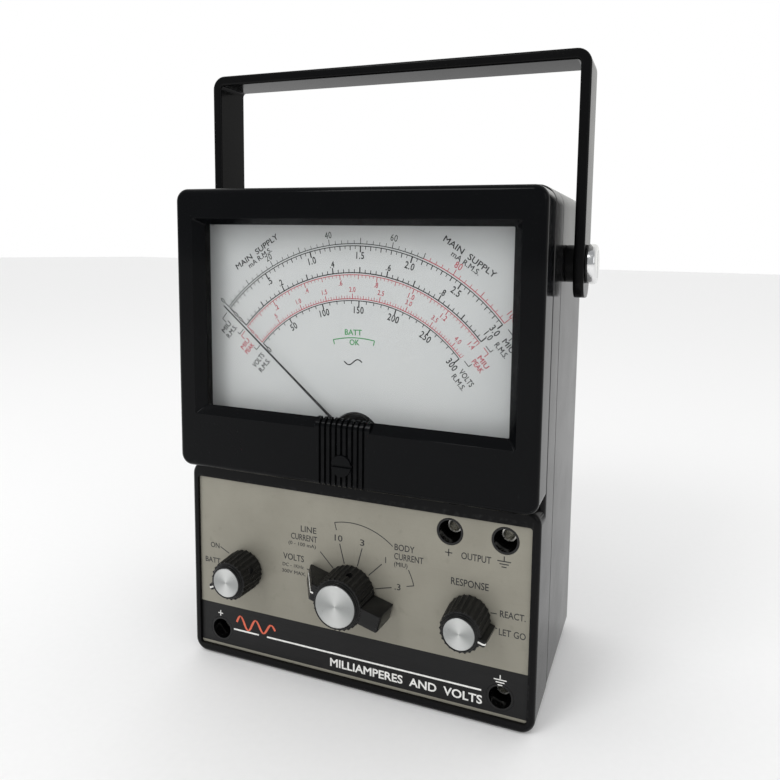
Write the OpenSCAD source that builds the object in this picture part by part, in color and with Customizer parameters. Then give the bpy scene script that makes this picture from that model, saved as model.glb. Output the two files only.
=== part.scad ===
// Bench leakage-current meter: moulded case, big moving-coil meter, three
// rotary controls, four banana sockets and a swinging bail handle.
// X is to the right, Z is up, Y runs back from the meter cover to the feet.
// Depths below are measured from the front face of the meter cover, and
// from_cover() then brings the whole model over the middle of its base.

/* [Case] */
// Width of the case and of the meter cover
case_w = 134.9; // [130:0.1:140]
// Height of the case
case_h = 179.1; // [179.1:0.1:186]
// Depth from the cover face to the back of the case
case_depth = 76.2; // [76.2:0.1:90]
// Wall thickness of the mouldings
wall = 2.5; // [2:0.1:3]
// Corner radius of the case, seen from the front
case_r = 6; // [5:0.5:8]
// Depth at which the front panel meets the rear case
seam_y = 27; // [25:0.5:30]
// Depth of the raised rim round the lower panel
rim_y = 6.3; // [5.8:0.1:6.5]

/* [Meter] */
// Lower edge of the meter cover
cover_z0 = 76.5; // [76.4:0.1:77]
// Upper edge of the meter cover
cover_z1 = 177.9; // [176:0.1:178.5]
// Depth of the meter cover
cover_d = 12.6; // [12.5:0.1:13]
// Half width of the clear window
window_x = 57; // [54:0.5:57.5]
// Lower edge of the clear window
window_z0 = 99.8; // [99:0.1:102]
// Upper edge of the clear window
window_z1 = 165.4; // [160:0.1:166]
// Width of the bevel round the window
bevel = 2.9; // [1.5:0.1:3]
// Number of ribs on the boss under the window
ribs = 10; // [6:1:12]
// Height of the needle's axis
axis_z = 91.2; // [91:0.1:91.5]
// Length of the needle from its axis
needle_len = 69.5; // [60:0.5:70]
// Travel of the needle either side of upright
needle_swing = 50; // [40:1:50]

/* [Panel] */
// Depth of the printed plate's face
plate_y = 7.3; // [7.2:0.1:7.5]
// Thickness of the printed plate
plate_t = 0.8; // [0.5:0.1:1]
// Half width of the printed plate
plate_x = 64.7; // [62:0.1:64.8]
// Lower edge of the printed plate
plate_z0 = 3.5; // [3.3:0.1:5]
// Upper edge of the printed plate
plate_z1 = 70.5; // [69:0.1:70.8]
// Height of the three control axes
knob_z = 36.7; // [36:0.1:37.5]
// Distance of the side controls from the middle
knob_x = 44.3; // [42:0.1:45]
// Depth of the knob faces, in front of the cover face
knob_face = -4.5; // [-6:0.1:-4]
// Flutes round the large knob
flutes_big = 32; // [20:1:34]
// Flutes round the small knobs
flutes_small = 24; // [16:1:26]

/* [Sockets] */
// Height of the output pair
out_z = 64.6; // [64:0.1:65]
// Middle of the output pair
out_x = 46.3; // [45:0.1:47]
// Pitch of the output pair
out_pitch = 19.05; // [19:0.05:19.1]
// Place of the input sockets from the middle
in_x = 55.5; // [54:0.1:56]
// Height of the input sockets
in_z = 10.4; // [10:0.1:11]
// Radius of the plug hole in each contact
plug_r = 2; // [1.95:0.05:2.05]

/* [Handle] */
// Height of the handle's pivots
pivot_z = 154.1; // [150:0.1:156]
// Half width over the arms
handle_x = 74.35; // [74:0.05:76]
// Thickness of the handle's strap
strap_t = 3.65; // [3:0.05:3.65]
// Depth of the handle's strap
strap_d = 15.4; // [12:0.1:18]
// Pivot to the outside of the grip
handle_len = 70.5; // [65:0.5:90]

/* [Hidden] */
$fn = 64;
eps = 0.01;

foot_t = 3.2;
half_w = case_w / 2;
inner_x = half_w - wall;
back_y = case_depth;
cover_y = -(knob_face + back_y + foot_t) / 2;
pivot_y = back_y / 2;
ledge_z = cover_z0 - 0.5;
upper_y = cover_d;
upper_back = upper_y + wall;
plate_back = plate_y + plate_t;
panel_back = plate_back + wall;
glass_y = bevel + 0.3;
glass_t = 1.6;
dial_y = 10.75;
dial_t = 0.6;
dial_x = 60.8;
dial_hole = [[-56, 167.1], [56, 167.1]];
base_t = 1.2;
boss_x = 60.4;
boss_z = [24, 168];
cover_boss_x = 50;
cover_boss_z = [82.2, 172.7];
boss_half = 10.3;
pip_r = bevel + 0.3;
pip_z = window_z0 - pip_r + 0.5;
groove_d = 0.8;
groove_half = 0.45;
zero_z = 84.6;
zero_e = 0.6;
bracket_t = 2;
bracket_hole = [[-26, 82], [26, 82], [-26, 112], [26, 112]];
board_y = 40;
board_t = 1.6;
board_hole = [[-48, 90], [48, 90], [-48, 160], [48, 160]];
feet = [[-60.6, 12], [60.6, 12], [-60.6, 139], [60.6, 139]];
shaft_r = 3.175;
bush_r = 4.76;
knob_back = plate_y - 0.4;
big_r = [9.9, 9.2, 8.15];
small_r = [7.7, 7.15, 6.1];
skirt_y = knob_face + 1.4;
range_turn = -75;
power_turn = -115;
response_turn = 105;
out_pair = [[out_x - out_pitch / 2, out_z], [out_x + out_pitch / 2, out_z]];
in_pair = [[-in_x, in_z], [in_x, in_z]];
controls = [[-knob_x, knob_z], [0, knob_z], [knob_x, knob_z]];
board_face = board_y + board_t;
arm_in = handle_x - strap_t;

// ---- helpers ----

// Moves the model so that its footprint is centred on the origin
module from_cover() translate([0, cover_y, 0]) children();

// Extrudes an outline drawn in X and Z from depth y0 to depth y1
module deep(y0, y1) translate([0, y1, 0]) rotate([90, 0, 0]) linear_extrude(y1 - y0) children();

// A round bar along Y
module bar(p, r, y0, y1) translate([p[0], y1, p[1]]) rotate([90, 0, 0]) cylinder(h = y1 - y0, r = r);

// A bar along Y with a radius at each end
module taper(p, r0, r1, y0, y1)
    translate([p[0], y1, p[1]]) rotate([90, 0, 0]) cylinder(h = y1 - y0, r1 = r1, r2 = r0);

// A hexagon along Y
module hex(p, r, y0, y1)
    translate([p[0], y1, p[1]]) rotate([90, 0, 0]) cylinder(h = y1 - y0, r = r, $fn = 6);

// An upright plate between two X limits, two Z limits and two depths
module block(x0, x1, y0, y1, z0, z1) translate([x0, y0, z0]) cube([x1 - x0, y1 - y0, z1 - z0]);

// A rectangle with round corners, in X and Z
module round_rect(x0, x1, z0, z1, r) {
    translate([x0 + r, z0]) square([x1 - x0 - 2 * r, z1 - z0]);
    translate([x0, z0 + r]) square([x1 - x0, z1 - z0 - 2 * r]);
    for (x = [x0 + r, x1 - r], z = [z0 + r, z1 - r]) translate([x, z]) circle(r);
}

// A slab with round corners and a rounded front or back edge
module soft_slab(x, z0, z1, y0, y1, r, edge, at_back = false) {
    flat_y = at_back ? y0 : y1;
    soft_y = at_back ? y1 - edge : y0 + edge;
    hull() for (sx = [-1, 1], z = [z0 + r, z1 - r]) translate([sx * (x - r), 0, z]) {
        translate([0, soft_y, 0]) rotate([90, 0, 0]) rotate_extrude($fn = 32)
            translate([r - edge, 0]) circle(edge, $fn = 32);
        translate([0, max(flat_y, soft_y), 0]) rotate([90, 0, 0])
            cylinder(h = abs(flat_y - soft_y), r = r, $fn = 32);
    }
}

// Turns children about a control's axis, clockwise from the front
module turned(p, a) translate([p[0], 0, p[1]]) rotate([0, a, 0]) children();

// ---- case ----

module panel_wall_holes() {
    for (p = controls) bar(p, bush_r + 0.1, 0, 20);
    for (p = concat(out_pair, in_pair)) bar(p, 4.4, 0, 20);
}

module front_panel() color([0.03, 0.03, 0.035]) from_cover() difference() {
    union() {
        difference() {
            union() {
                soft_slab(half_w, 0, ledge_z, rim_y, seam_y, 5, 1.6);
                soft_slab(half_w, 0, case_h, upper_y, seam_y, case_r, 2);
            }
            deep(panel_back, seam_y + 1) round_rect(-inner_x, inner_x, wall, ledge_z - wall, 3);
            deep(upper_back, seam_y + 1) round_rect(-inner_x, inner_x, wall, case_h - wall, 3.5);
        }
        for (x = [-boss_x, boss_x]) {
            bar([x, boss_z[0]], 4, panel_back - eps, seam_y);
            bar([x, boss_z[1]], 4, upper_back - eps, seam_y);
        }
    }
    deep(0, plate_back) round_rect(-plate_x - 0.1, plate_x + 0.1, plate_z0 - 0.1, plate_z1 + 0.1, 1);
    panel_wall_holes();
    bar([0, axis_z], 14, upper_y - 1, upper_back + 1);
    for (x = [-boss_x, boss_x], z = boss_z) bar([x, z], 1.3, 17, seam_y + 1);
    for (x = [-cover_boss_x, cover_boss_x], z = cover_boss_z) bar([x, z], 1.7, upper_y - 1, upper_back + 1);
    for (p = bracket_hole) bar(p, 1.3, upper_y - 1, upper_back + 1);
    for (p = board_hole) bar(p, 1.3, upper_y - 1, upper_back + 1);
}

module rear_case() color([0.03, 0.03, 0.035]) from_cover() difference() {
    union() {
        difference() {
            soft_slab(half_w, 0, case_h, seam_y, back_y, case_r, 3, true);
            deep(seam_y - 1, back_y - wall) round_rect(-inner_x, inner_x, wall, case_h - wall, 3.5);
        }
        for (x = [-boss_x, boss_x], z = boss_z) bar([x, z], 4.4, seam_y, back_y - wall + eps);
    }
    for (x = [-boss_x, boss_x], z = boss_z) {
        bar([x, z], 1.7, seam_y - 1, back_y + 1);
        bar([x, z], 3.3, 56, back_y + 1);
    }
    for (s = [-1, 1]) translate([s * (half_w - wall / 2), pivot_y, pivot_z]) rotate([0, 90, 0])
        cylinder(h = wall + 2, r = 3.05, center = true);
    for (p = feet) bar(p, 2.05, back_y - wall - 1, back_y + 1);
}

module case_screws() color([0.7, 0.7, 0.7]) from_cover()
    for (x = [-boss_x, boss_x], z = boss_z) difference() {
        union() {
            bar([x, z], 1.3, 18, 56 + eps);
            bar([x, z], 2.9, 56, 58.4);
        }
        block(x - 2.2, x + 2.2, 57.4, 59, z - 0.35, z + 0.35);
        block(x - 0.35, x + 0.35, 57.4, 59, z - 2.2, z + 2.2);
    }

module back_feet() color([0.05, 0.05, 0.05]) from_cover()
    for (p = feet) {
        taper(p, 6.5, 5.6, back_y, back_y + foot_t);
        bar(p, 2, back_y - wall - 0.6, back_y + eps);
        taper(p, 1.2, 2.7, back_y - wall - 2.2, back_y - wall - 0.1);
    }

module panel_plate() color([0.62, 0.60, 0.55]) from_cover() difference() {
    deep(plate_y, plate_back) round_rect(-plate_x, plate_x, plate_z0, plate_z1, 0.9);
    for (p = controls) bar(p, bush_r + 0.1, 0, 20);
    for (p = concat(out_pair, in_pair)) bar(p, 4.7, 0, 20);
}

// ---- meter ----

module window_bevel() hull() {
    deep(-eps, 0)
        round_rect(-window_x - bevel, window_x + bevel, window_z0 - bevel, window_z1 + bevel * 0.7, 0.6);
    deep(glass_y, glass_y + eps) round_rect(-window_x, window_x, window_z0, window_z1, 0.4);
}

// Extrudes an outline drawn in Y and Z along X
module across(x0, x1) translate([x0, 0, 0]) rotate([90, 0, 90]) linear_extrude(x1 - x0) children();

// A quarter of the boss's rounded top, in Y and Z
module boss_quarter(r) translate([pip_r, pip_z]) intersection() {
    circle(r);
    translate([-2 * r, 0]) square(2 * r);
}

module rib_groove(x) across(x - groove_half, x + groove_half) {
    translate([-1, cover_z0 - 1]) square([1 + groove_d, pip_z - cover_z0 + 1]);
    difference() {
        boss_quarter(pip_r + 1);
        boss_quarter(pip_r - groove_d);
    }
}

module meter_cover() color([0.02, 0.02, 0.025]) from_cover() {
    pitch = 2 * boss_half / ribs;
    difference() {
        union() {
            difference() {
                soft_slab(half_w, cover_z0, cover_z1, 0, cover_d, 4.5, 2.1);
                window_bevel();
                deep(glass_y, cover_d + 1)
                    round_rect(-half_w + wall, half_w - wall, cover_z0 + wall, cover_z1 - wall, 2.5);
            }
            across(-boss_half, boss_half) {
                translate([0, window_z0 - 6]) square([glass_y, pip_z - window_z0 + 6]);
                boss_quarter(pip_r);
            }
            for (x = [-cover_boss_x, cover_boss_x], z = cover_boss_z) bar([x, z], 3, glass_y - eps, cover_d);
        }
        for (i = [1:ribs - 1]) rib_groove(-boss_half + i * pitch);
        bar([0, zero_z], 3.85, -1, 1.4);
        bar([0, zero_z], 2.05, 0, glass_y + 1);
        for (x = [-cover_boss_x, cover_boss_x], z = cover_boss_z)
            bar([x, z], 1.2, glass_y + 1.5, cover_d + 1);
    }
}

module window_glass() color([0.8, 0.9, 0.95, 0.3]) from_cover()
    deep(glass_y, glass_y + glass_t)
        round_rect(-window_x - 3.6, window_x + 3.6, window_z0 - 3.8, window_z1 + 3.8, 1);

module dial_plate() color([0.86, 0.87, 0.86]) from_cover() difference() {
    deep(dial_y, dial_y + dial_t) round_rect(-dial_x, dial_x, 94.5, 168.8, 1);
    bar([0, axis_z], 6, dial_y - 1, dial_y + 2);
    for (p = dial_hole) bar(p, 0.9, dial_y - 1, dial_y + 2);
}

module dial_screws() color([0.75, 0.75, 0.75]) from_cover() for (p = dial_hole) difference() {
    union() {
        bar(p, 1.5, dial_y - 0.9, dial_y);
        bar(p, 0.85, dial_y - eps, dial_y + dial_t + base_t);
    }
    block(p[0] - 2, p[0] + 2, dial_y - 1, dial_y - 0.6, p[1] - 0.2, p[1] + 0.2);
}

module pivot_cover() color([0.03, 0.03, 0.03]) from_cover() difference() {
    intersection() {
        taper([0, axis_z], 9.1, 9.6, 9.3, dial_y);
        block(-20, 20, 8, 12, axis_z - 2.5, axis_z + 20);
    }
    bar([0, axis_z], 2.4, 8, 12);
}

module meter_base() color([0.04, 0.04, 0.04]) from_cover() difference() {
    deep(dial_y + dial_t, cover_d) round_rect(-dial_x, dial_x, 86.8, 168.8, 1);
    bar([0, axis_z], 14.2, dial_y, 14);
    for (p = dial_hole) bar(p, 0.9, dial_y - 1, 14);
}

// Screws seen from inside: y0 is the tip and y1 the seat of the head
module inner_screw(p, r, y0, y1) difference() {
    union() {
        bar(p, r, y0, y1 + eps);
        bar(p, 2 * r + 0.2, y1, y1 + 1.7);
    }
    block(p[0] - 3, p[0] + 3, y1 + 0.9, y1 + 3, p[1] - 0.3, p[1] + 0.3);
}

module meter_screws() color([0.7, 0.7, 0.7]) from_cover() {
    for (x = [-cover_boss_x, cover_boss_x], z = cover_boss_z) inner_screw([x, z], 1.2, 7, upper_back);
    for (p = bracket_hole) inner_screw(p, 1.3, upper_y + 0.3, upper_back + bracket_t);
}

// ---- movement ----

module movement_bracket() color([0.55, 0.56, 0.58]) from_cover() difference() {
    deep(upper_back, upper_back + bracket_t) round_rect(-30, 30, 77.6, 118, 2);
    bar([0, axis_z], 13.1, 10, 20);
    for (p = bracket_hole) bar(p, 1.4, 10, 20);
}

module magnet_ring() color([0.4, 0.4, 0.42]) from_cover() difference() {
    bar([0, axis_z], 13.1, upper_back, 29.5);
    bar([0, axis_z], 10, 10, 40);
}

module core() color([0.5, 0.5, 0.52]) from_cover() {
    bar([0, axis_z], 6.8, 16.8, 28.2);
    for (s = [-1, 1]) intersection() {
        bar([0, axis_z], 10, 20, 25);
        block(-2.5, 2.5, 20, 25, axis_z + min(6 * s, 14 * s), axis_z + max(6 * s, 14 * s));
    }
}

module front_bridge() color([0.78, 0.62, 0.3]) from_cover() difference() {
    union() {
        block(-3, 3, 13.1, 14.1, axis_z - 12.6, axis_z + 12.6);
        for (z = [axis_z - 11.5, axis_z + 11.5]) bar([0, z], 1.1, 14, upper_back);
        bar([0, axis_z], 2, 11.1, 13.2);
    }
    bar([0, axis_z], 0.86, 10, 15);
}

module rear_bridge() color([0.78, 0.62, 0.3]) from_cover() difference() {
    union() {
        block(-3, 3, 31, 32.2, axis_z - 12.6, axis_z + 12.6);
        for (z = [axis_z - 11.5, axis_z + 11.5]) bar([0, z], 1.1, 29.5, 31.1);
    }
    bar([0, axis_z], 0.86, 30, 33);
}

// The coil on its frame, with a half shaft at each end
module moving_coil() color([0.7, 0.35, 0.15]) from_cover() turned([0, axis_z], -needle_swing) {
    difference() {
        block(-9.2, 9.2, 15.2, 29.8, -1.5, 1.5);
        block(-7.6, 7.6, 16.3, 28.7, -2, 2);
    }
    bar([0, 0], 0.8, 7.6, 15.3);
    bar([0, 0], 0.8, 29.7, 32);
}

module needle() color([0.02, 0.02, 0.02]) from_cover() turned([0, axis_z], -needle_swing) difference() {
    union() {
        bar([0, 0], 1.7, 7.8, 8.9);
        deep(8.2, 8.5) polygon([[-0.55, 0], [-0.16, needle_len - 12], [-0.16, needle_len],
            [0.16, needle_len], [0.16, needle_len - 12], [0.55, 0]]);
        deep(8.1, 8.6) polygon([[-0.4, 0], [-1.2, -4.5], [1.2, -4.5], [0.4, 0]]);
    }
    bar([0, 0], 0.8, 7, 10);
}

// A flat spiral from r0 to r1 over the given turns
function spiral(r0, r1, turns, grow) = [for (i = [0:turns * 20])
    let (a = i * 18, r = r0 + (r1 - r0) * i / (turns * 20) + grow) [r * cos(a), r * sin(a)]];

module hairspring(y) translate([0, 0, axis_z]) deep(y, y + 0.4) polygon(concat(spiral(1.3, 5, 3, 0),
    [for (p = [len(spiral(1.3, 5, 3, 0)) - 1:-1:0]) spiral(1.3, 5, 3, 0.25)[p]]));

module front_hairspring() color([0.8, 0.65, 0.3]) from_cover() hairspring(14.4);

module rear_hairspring() color([0.8, 0.65, 0.3]) from_cover() hairspring(30.2);

module zero_screw() color([0.04, 0.04, 0.04]) from_cover() {
    difference() {
        union() {
            bar([0, zero_z], 3.75, -0.5, 1.3);
            bar([0, zero_z], 2, 1.2, 4.4);
        }
        block(-4, 4, -1, 0.3, zero_z - 0.45, zero_z + 0.45);
    }
    bar([0, zero_z + zero_e], 0.7, 4.3, 12.3);
}

module zero_arm() color([0.78, 0.62, 0.3]) from_cover() difference() {
    union() {
        bar([0, axis_z], 3, 11.4, 12.2);
        block(-2.2, 2.2, 11.4, 12.2, 82.8, axis_z);
    }
    bar([0, axis_z], 2.06, 11, 13);
    block(-0.98, 0.98, 11, 13, 82, 86.9);
}

// ---- controls ----

// A fluted knob body: r is the radius at the back, at the front of the flutes and of the plain ring
module fluted(r, flutes) difference() {
    union() {
        taper([0, 0], r[1], r[0], skirt_y, knob_back);
        taper([0, 0], r[2], r[2] + 0.25, knob_face + 0.3, skirt_y + eps);
        taper([0, 0], r[2] - 0.45, r[2], knob_face, knob_face + 0.3 + eps);
    }
    slope = atan((r[0] - r[1]) / (knob_back - skirt_y));
    for (i = [0:flutes - 1]) rotate([0, (i + 0.5) * 360 / flutes, 0]) translate([0, knob_back, r[0] + 0.15])
        rotate([90 + slope, 0, 0]) translate([0, 0, -1]) cylinder(h = 12, r = 0.5, $fn = 16);
}

module knob_hollow(cap_r, nut_r) {
    bar([0, 0], cap_r + 0.05, knob_face - 1, knob_face + 0.6);
    bar([0, 0], shaft_r, knob_face + 2.4, knob_back + 1);
    bar([0, 0], nut_r, 5.4, knob_back + 1);
}

module grub_hole() translate([0, 1.6, 0]) cylinder(h = 12, r = 1.2);

module range_knob() color([0.03, 0.03, 0.03]) from_cover() turned([0, knob_z], range_turn) difference() {
    union() {
        fluted(big_r, flutes_big);
        translate([-3, 0, 0]) rotate([90, 0, 90]) linear_extrude(6) polygon([[knob_back, 17], [6, 17],
            [-2.9, 10.6], [-2.9, -15.8], [-1.9, -16.2], [knob_back, -16.6]]);
    }
    knob_hollow(7.5, 7);
    rotate([0, 90, 0]) grub_hole();
}

module small_knob() difference() {
    union() {
        fluted(small_r, flutes_small);
        translate([-1.1, 0, 0]) rotate([90, 0, 90]) linear_extrude(2.2) polygon([[knob_back, 9.2], [-3, 8.8],
            [-3.5, 8.3], [-3.5, 5], [knob_back, 5]]);
    }
    knob_hollow(5.35, 6.6);
    rotate([0, 180, 0]) grub_hole();
}

module power_knob() color([0.03, 0.03, 0.03]) from_cover() turned([-knob_x, knob_z], power_turn) small_knob();

module response_knob() color([0.03, 0.03, 0.03]) from_cover() turned([knob_x, knob_z], response_turn)
    small_knob();

module cap(r) {
    bar([0, 0], r, knob_face + 0.1, knob_face + 0.6);
    bar([0, 0], r - 0.4, knob_face + 0.02, knob_face + 0.2);
}

module range_cap() color([0.85, 0.85, 0.86]) from_cover() turned([0, knob_z], range_turn) cap(7.5);

module power_cap() color([0.85, 0.85, 0.86]) from_cover() turned([-knob_x, knob_z], power_turn) cap(5.35);

module response_cap() color([0.85, 0.85, 0.86]) from_cover() turned([knob_x, knob_z], response_turn)
    cap(5.35);

module grub(len) difference() {
    translate([0, 1.6, shaft_r - 0.35]) cylinder(h = len, r = 1.2);
    translate([-2, 1.35, shaft_r - 0.35 + len - 0.8]) cube([4, 0.5, 2]);
}

module range_grub() color([0.3, 0.3, 0.3]) from_cover() turned([0, knob_z], range_turn)
    rotate([0, 90, 0]) grub(4.6);

module power_grub() color([0.3, 0.3, 0.3]) from_cover() turned([-knob_x, knob_z], power_turn)
    rotate([0, 180, 0]) grub(2.9);

module response_grub() color([0.3, 0.3, 0.3]) from_cover() turned([knob_x, knob_z], response_turn)
    rotate([0, 180, 0]) grub(2.9);

// A shaft with a flat that the grub screw bears on, and a rotor at the back
module shaft(grub_turn, end_y, rotor_r, rotor_y) {
    difference() {
        bar([0, 0], shaft_r, knob_face + 2.6, end_y);
        rotate([0, grub_turn, 0]) block(-4, 4, knob_face, 4.4, shaft_r - 0.35, 4);
    }
    for (y = rotor_y) bar([0, 0], rotor_r, y, y + 1);
}

module range_shaft() color([0.72, 0.72, 0.7]) from_cover() turned([0, knob_z], range_turn)
    shaft(90, 27.5, 6.4, [19.2, 25.2]);

module power_shaft() color([0.72, 0.72, 0.7]) from_cover() turned([-knob_x, knob_z], power_turn)
    shaft(180, 17, 5.5, [15]);

module response_shaft() color([0.72, 0.72, 0.7]) from_cover() turned([knob_x, knob_z], response_turn)
    shaft(180, 17, 5.5, [15]);

module bushing(p, back) difference() {
    union() {
        bar(p, bush_r, 6, back + eps);
        bar(p, 8, panel_back, back);
    }
    bar(p, shaft_r + 0.05, 0, back + 1);
}

module range_switch() color([0.7, 0.7, 0.68]) from_cover() {
    bushing([0, knob_z], 13);
    difference() {
        bar([0, knob_z], 16, 13, 14.2);
        bar([0, knob_z], shaft_r + 0.05, 12, 15);
    }
    for (s = [-1, 1]) bar([s * 13.2, knob_z], 1.4, 14.1, 29);
}

module range_wafers() color([0.55, 0.35, 0.18]) from_cover() for (y = [19, 25]) difference() {
    bar([0, knob_z], 16, y, y + 1.4);
    bar([0, knob_z], 7, y - 1, y + 3);
    for (s = [-1, 1]) bar([s * 13.2, knob_z], 1.45, y - 1, y + 3);
}

module small_switch(p) {
    bushing(p, 12.4);
    difference() {
        bar(p, 10.5, 12.4, 19);
        bar(p, shaft_r + 0.05, 12, 15);
        bar(p, 6, 14.4, 17.6);
    }
}

module power_switch() color([0.6, 0.6, 0.58]) from_cover() small_switch([-knob_x, knob_z]);

module response_switch() color([0.6, 0.6, 0.58]) from_cover() small_switch([knob_x, knob_z]);

module switch_nuts() color([0.75, 0.75, 0.74]) from_cover() for (p = controls) difference() {
    hex(p, 6.3, plate_y - 1.4, plate_y);
    bar(p, bush_r + 0.02, 0, 20);
}

// ---- sockets ----

module socket_shell(p) difference() {
    union() {
        bar(p, 4.6, plate_y, plate_back);
        bar(p, 4.35, plate_back - eps, 19);
    }
    bar(p, 3.9, 0, 17.6);
    bar(p, 2.5, 17, 20);
}

module output_shells() color([0.02, 0.02, 0.02]) from_cover() for (p = out_pair) socket_shell(p);

module input_shells() color([0.02, 0.02, 0.02]) from_cover() for (p = in_pair) socket_shell(p);

module socket_contact(p) {
    difference() {
        bar(p, 2.5, 12.8, 22);
        bar(p, plug_r, 12, 21);
    }
    bar(p, 1, 21.9, 26);
}

module output_contacts() color([0.75, 0.72, 0.6]) from_cover() for (p = out_pair) socket_contact(p);

module input_contacts() color([0.75, 0.72, 0.6]) from_cover() for (p = in_pair) socket_contact(p);

module socket_nuts() color([0.7, 0.7, 0.7]) from_cover() for (p = concat(out_pair, in_pair)) difference() {
    hex(p, 6.6, panel_back, panel_back + 2);
    bar(p, 4.37, 5, 20);
}

// ---- circuit and battery ----

module circuit_board() color([0.2, 0.4, 0.2]) from_cover() difference() {
    deep(board_y, board_face) round_rect(-53, 53, 85, 165, 1.5);
    for (p = board_hole) bar(p, 1.6, board_y - 1, board_face + 1);
}

module board_parts() color([0.3, 0.28, 0.25]) from_cover() {
    for (i = [0:7]) translate([-38 + i * 6, board_face + 1.3, 136]) cylinder(h = 9, r = 1.3);
    for (x = [20, 32]) bar([x, 140], 4, board_face, board_face + 11);
    for (z = [102, 118]) block(-8, 12, board_face, board_face + 4, z, z + 7);
    for (x = [-40, -28]) block(x, x + 9, board_face, board_face + 5, 104, 113);
}

module board_spacers() color([0.78, 0.78, 0.75]) from_cover() for (p = board_hole) difference() {
    union() {
        hex(p, 3.4, upper_back, board_y);
        bar(p, 1.28, upper_y + 0.3, upper_back + eps);
    }
    bar(p, 1.3, board_y - 8, board_y + 1);
}

module board_screws() color([0.7, 0.7, 0.7]) from_cover()
    for (p = board_hole) inner_screw(p, 1.3, board_y - 6, board_face);

module battery() color([0.25, 0.27, 0.3]) from_cover() {
    deep(55, 72.4) round_rect(-22, 24.2, 9, 35.4, 2);
    for (z = [16, 28.4]) translate([24, 63.7, z]) rotate([0, 90, 0]) cylinder(h = 2.2, r = 3);
}

module battery_clip() color([0.75, 0.75, 0.74]) from_cover() {
    block(-15, 15, 72.5, back_y - wall, 7.8, 36.6);
    block(-15, 15, 53.5, 73, 7.8, 8.9);
    block(-15, 15, 53.5, 73, 35.5, 36.6);
}

module battery_snap() color([0.05, 0.05, 0.05]) from_cover() difference() {
    block(24.3, 28, 56.5, 71, 10, 34.4);
    for (z = [16, 28.4]) translate([23, 63.7, z]) rotate([0, 90, 0]) cylinder(h = 3.3, r = 3.05);
}

// ---- handle ----

module side_bar(x0, x1, r) for (s = [-1, 1]) translate([s * x0, pivot_y, pivot_z]) rotate([0, s * 90, 0])
    cylinder(h = x1 - x0, r = r);

module handle() color([0.03, 0.03, 0.03]) from_cover() difference() {
    intersection() {
        deep(pivot_y - strap_d / 2, pivot_y + strap_d / 2) difference() {
            round_rect(-handle_x, handle_x, pivot_z - 40, pivot_z + handle_len, 5);
            round_rect(-arm_in, arm_in, pivot_z - 50, pivot_z + handle_len - strap_t, 2);
        }
        translate([-100, pivot_y, pivot_z]) rotate([90, 0, 90]) linear_extrude(200)
            round_rect(-strap_d / 2, strap_d / 2, -11.6, handle_len + 20, 5.5);
    }
    side_bar(60, 80, 3.1);
}

module handle_hubs() color([0.02, 0.02, 0.02]) from_cover() difference() {
    side_bar(half_w, arm_in - 0.1, 6.4);
    side_bar(60, 80, 3.05);
}

module handle_washers() color([0.15, 0.15, 0.15]) from_cover() difference() {
    side_bar(handle_x + 0.1, handle_x + 0.7, 6.6);
    side_bar(60, 80, 3.05);
}

module handle_screws() color([0.8, 0.8, 0.8]) from_cover() for (s = [-1, 1])
    translate([s * (handle_x + 0.7), pivot_y, pivot_z]) rotate([0, s * 90, 0]) difference() {
        union() {
            rotate_extrude() polygon(concat([[0, 0], [6.9, 0], [6.9, 1.7]],
                [for (a = [0:15:90]) [5.7 + 1.2 * cos(a), 1.7 + 1.2 * sin(a)]], [[0, 2.9]]));
            translate([0, 0, -13.5]) cylinder(h = 13.6, r = 3);
        }
        translate([-4.6, -0.7, 1.9]) cube([9.2, 1.4, 3]);
    }

module handle_nuts() color([0.7, 0.7, 0.7]) from_cover() difference() {
    for (s = [-1, 1]) translate([s * (inner_x - 2.6), pivot_y, pivot_z]) rotate([0, 90, 0])
        cylinder(h = 5.2, r = 5.8, $fn = 6, center = true);
    side_bar(50, 80, 3.02);
}

front_panel();
rear_case();
panel_plate();
case_screws();
back_feet();
meter_cover();
window_glass();
dial_plate();
dial_screws();
pivot_cover();
meter_base();
meter_screws();
movement_bracket();
magnet_ring();
core();
front_bridge();
rear_bridge();
moving_coil();
needle();
front_hairspring();
rear_hairspring();
zero_screw();
zero_arm();
range_knob();
range_cap();
range_grub();
range_shaft();
range_switch();
range_wafers();
power_knob();
power_cap();
power_grub();
power_shaft();
power_switch();
response_knob();
response_cap();
response_grub();
response_shaft();
response_switch();
switch_nuts();
output_shells();
output_contacts();
input_shells();
input_contacts();
socket_nuts();
circuit_board();
board_parts();
board_spacers();
board_screws();
battery();
battery_clip();
battery_snap();
handle();
handle_hubs();
handle_washers();
handle_screws();
handle_nuts();
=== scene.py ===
import math
import bpy
import bmesh
from mathutils import Matrix, Vector


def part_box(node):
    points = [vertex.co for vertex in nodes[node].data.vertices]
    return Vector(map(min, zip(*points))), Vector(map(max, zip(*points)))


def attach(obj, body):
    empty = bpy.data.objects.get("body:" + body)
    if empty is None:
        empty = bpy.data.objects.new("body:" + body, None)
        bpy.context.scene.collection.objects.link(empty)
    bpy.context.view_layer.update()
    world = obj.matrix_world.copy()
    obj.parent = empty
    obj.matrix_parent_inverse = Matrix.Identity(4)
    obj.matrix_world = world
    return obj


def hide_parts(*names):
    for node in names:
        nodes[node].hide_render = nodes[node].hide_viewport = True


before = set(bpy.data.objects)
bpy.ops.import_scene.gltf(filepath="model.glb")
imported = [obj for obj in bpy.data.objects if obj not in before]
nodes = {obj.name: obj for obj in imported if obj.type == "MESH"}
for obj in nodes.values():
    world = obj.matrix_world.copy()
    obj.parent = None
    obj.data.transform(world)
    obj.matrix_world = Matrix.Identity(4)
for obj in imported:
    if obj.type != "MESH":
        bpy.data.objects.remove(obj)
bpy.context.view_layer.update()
mm = 0.001
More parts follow.
